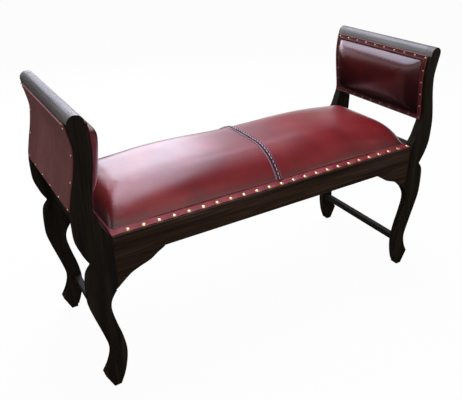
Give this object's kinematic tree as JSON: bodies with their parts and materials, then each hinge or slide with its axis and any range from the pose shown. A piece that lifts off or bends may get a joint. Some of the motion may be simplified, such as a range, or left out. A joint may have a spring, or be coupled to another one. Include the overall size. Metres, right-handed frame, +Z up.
{
  "type": "bench",
  "caption": "Scroll-arm bench: dark sawn-plank frame with S-curved legs and arm posts, crowned leather seat with a lapped seam, and padded leather arms.",
  "frame": {"origin": "on the floor under the middle of the bench", "axes": "+X along the seat to the right end as seen from the front, +Y to the back, +Z up"},
  "size_m": [1.0662, 0.3716, 0.701],
  "materials": {
    "dark_wood": "satin, near-black brown stain",
    "plain_wood": "unfinished, hidden",
    "plywood": "unfinished, hidden",
    "seat_leather": "glossy, oxblood",
    "seam_leather": "satin, dark oxblood, stitched",
    "arm_leather": "glossy, dark oxblood",
    "panel_leather": "satin, maroon",
    "foam": "soft filling, hidden"
  },
  "bodies": {
    "root": {"leg_front_left": "dark_wood", "arm_post_front_left": "dark_wood", "bracket_front_left": "dark_wood", "loose_tenon_front_left": "plain_wood", "dowel_leg_front_left": "plain_wood", "dowel_apron_front_left": "plain_wood", "corner_block_front_left": "plain_wood", "leg_front_right": "dark_wood", "arm_post_front_right": "dark_wood", "bracket_front_right": "dark_wood", "loose_tenon_front_right": "plain_wood", "dowel_leg_front_right": "plain_wood", "dowel_apron_front_right": "plain_wood", "corner_block_front_right": "plain_wood", "apron_front": "dark_wood", "seat_batten_front": "plain_wood", "leg_back_left": "dark_wood", "arm_post_back_left": "dark_wood", "bracket_back_left": "dark_wood", "loose_tenon_back_left": "plain_wood", "dowel_leg_back_left": "plain_wood", "dowel_apron_back_left": "plain_wood", "corner_block_back_left": "plain_wood", "leg_back_right": "dark_wood", "arm_post_back_right": "dark_wood", "bracket_back_right": "dark_wood", "loose_tenon_back_right": "plain_wood", "dowel_leg_back_right": "plain_wood", "dowel_apron_back_right": "plain_wood", "corner_block_back_right": "plain_wood", "apron_back": "dark_wood", "seat_batten_back": "plain_wood", "end_rail_left": "dark_wood", "stretcher_left": "dark_wood", "crest_rail_left": "dark_wood", "arm_low_rail_left": "dark_wood", "arm_outer_board_left": "plywood", "arm_inner_board_left": "plywood", "arm_pad_foam_left": "foam", "arm_pad_leather_left": "arm_leather", "arm_border_left": "seam_leather", "outer_panel_left": "panel_leather", "seat_bearer_left": "plain_wood", "seat_leather_left": "seat_leather", "end_rail_right": "dark_wood", "stretcher_right": "dark_wood", "crest_rail_right": "dark_wood", "arm_low_rail_right": "dark_wood", "arm_outer_board_right": "plywood", "arm_inner_board_right": "plywood", "arm_pad_foam_right": "foam", "arm_pad_leather_right": "arm_leather", "arm_border_right": "seam_leather", "outer_panel_right": "panel_leather", "seat_bearer_right": "plain_wood", "seat_leather_right": "seat_leather", "seat_board": "plywood", "seat_foam": "foam", "seat_seam_strip": "seam_leather"}
  },
  "joints": []
}
